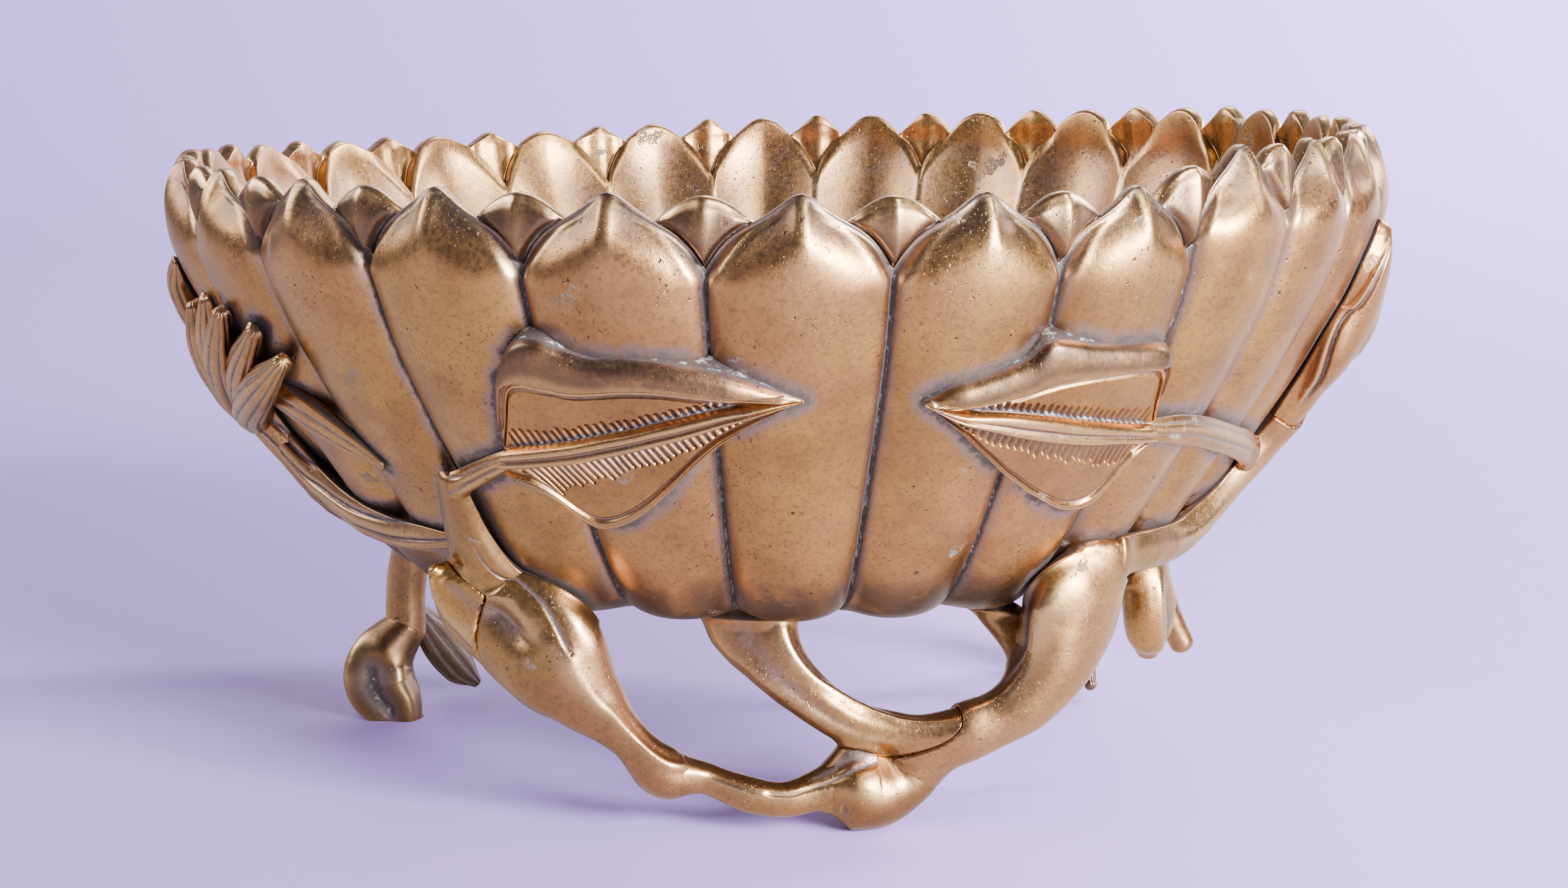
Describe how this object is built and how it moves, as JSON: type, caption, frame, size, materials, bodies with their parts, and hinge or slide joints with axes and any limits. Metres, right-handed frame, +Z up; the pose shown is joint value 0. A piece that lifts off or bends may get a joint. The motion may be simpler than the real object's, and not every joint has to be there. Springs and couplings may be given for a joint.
{
  "type": "lotus-form censer",
  "caption": "Lotus-form bronze censer: a round bowl with a pointed petal rim, carried on looped stem feet whose stems climb its wall as leaves, buds and a flower.",
  "frame": {"origin": "on the floor under the bowl's axis, at the centre of the bounding box's base", "axes": "-Y toward the front, where the looped stems and both front leaves are; +X to the viewer's right; +Z up along the bowl's axis"},
  "size_m": [0.2206, 0.2181, 0.1161],
  "materials": {
    "bowl_bronze": "polished golden-brown bronze",
    "stem_bronze": "polished brown bronze, worn",
    "relief_bronze": "polished golden-brown bronze",
    "recess_bronze": "dark brown bronze patina"
  },
  "bodies": {
    "root": {"bowl": "bowl_bronze", "front_foot": "recess_bronze", "front_left_leg": "stem_bronze", "front_left_thorn": "relief_bronze", "front_ring_stem": "stem_bronze", "front_right_leg": "stem_bronze", "front_cross_stem": "stem_bronze", "front_right_strut": "stem_bronze", "front_left_leaf": "relief_bronze", "front_left_leaf_stem": "relief_bronze", "front_right_leaf": "relief_bronze", "right_bud_stem": "stem_bronze", "front_right_leaf_stem": "relief_bronze", "right_bud": "relief_bronze", "hanging_bud": "relief_bronze", "hanging_stem_end": "stem_bronze", "left_rear_leg": "stem_bronze", "left_rear_foot": "recess_bronze", "left_rear_web_leaf": "recess_bronze", "left_flower_stalk": "stem_bronze", "left_flower": "relief_bronze", "left_narrow_leaf": "relief_bronze", "left_curled_leaf": "relief_bronze", "right_rear_leg": "stem_bronze", "right_rear_foot": "recess_bronze", "right_rear_web_leaf": "recess_bronze", "right_rear_leaf": "relief_bronze", "right_rear_leaf_stem": "relief_bronze", "left_rear_leaf": "relief_bronze", "left_rear_leaf_stem": "relief_bronze"}
  },
  "joints": []
}
